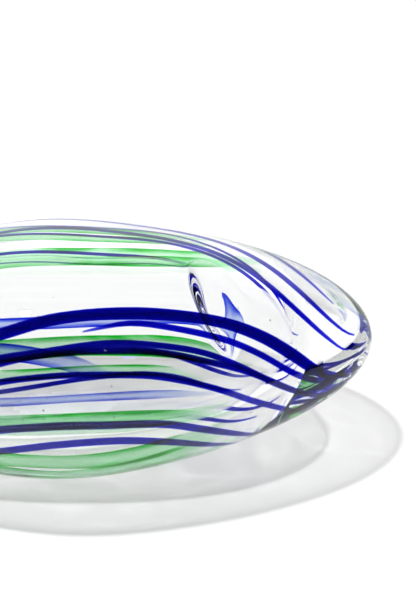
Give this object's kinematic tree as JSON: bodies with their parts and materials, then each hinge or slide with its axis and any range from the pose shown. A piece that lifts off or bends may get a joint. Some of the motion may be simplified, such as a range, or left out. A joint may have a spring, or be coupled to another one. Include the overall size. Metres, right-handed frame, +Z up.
{
  "type": "art glass vase",
  "caption": "Reclining egg-shaped glass vase with a thick solid base end, a round mouth at the other end, and colour threads and ribbons cased in clear glass.",
  "frame": {"origin": "centre of the bounding box on the surface the vase rests on", "axes": "+X along the vase to the solid base end, -X to the mouth, -Y the front, +Z up"},
  "size_m": [0.248, 0.134, 0.1045],
  "materials": {
    "clear_glass": "clear fire-polished glass",
    "cobalt_glass": "deep cobalt blue glass, cased in clear",
    "green_glass": "light green glass, cased in clear",
    "blue_glass": "translucent blue glass, cased in clear"
  },
  "bodies": {
    "root": {"clear_casing": "clear_glass", "inner_gather": "clear_glass", "cobalt_thread_01": "cobalt_glass", "cobalt_thread_02": "cobalt_glass", "cobalt_thread_03": "cobalt_glass", "cobalt_thread_04": "cobalt_glass", "cobalt_thread_05": "cobalt_glass", "cobalt_thread_06": "cobalt_glass", "cobalt_thread_07": "cobalt_glass", "cobalt_thread_08": "cobalt_glass", "cobalt_thread_09": "cobalt_glass", "cobalt_thread_10": "cobalt_glass", "cobalt_thread_11": "cobalt_glass", "cobalt_thread_12": "cobalt_glass", "green_ribbon_01": "green_glass", "green_ribbon_02": "green_glass", "green_ribbon_03": "green_glass", "green_ribbon_04": "green_glass", "green_ribbon_05": "green_glass", "green_ribbon_06": "green_glass", "green_ribbon_07": "green_glass", "blue_ribbon_01": "blue_glass", "blue_ribbon_02": "blue_glass", "blue_ribbon_03": "blue_glass"}
  },
  "joints": []
}
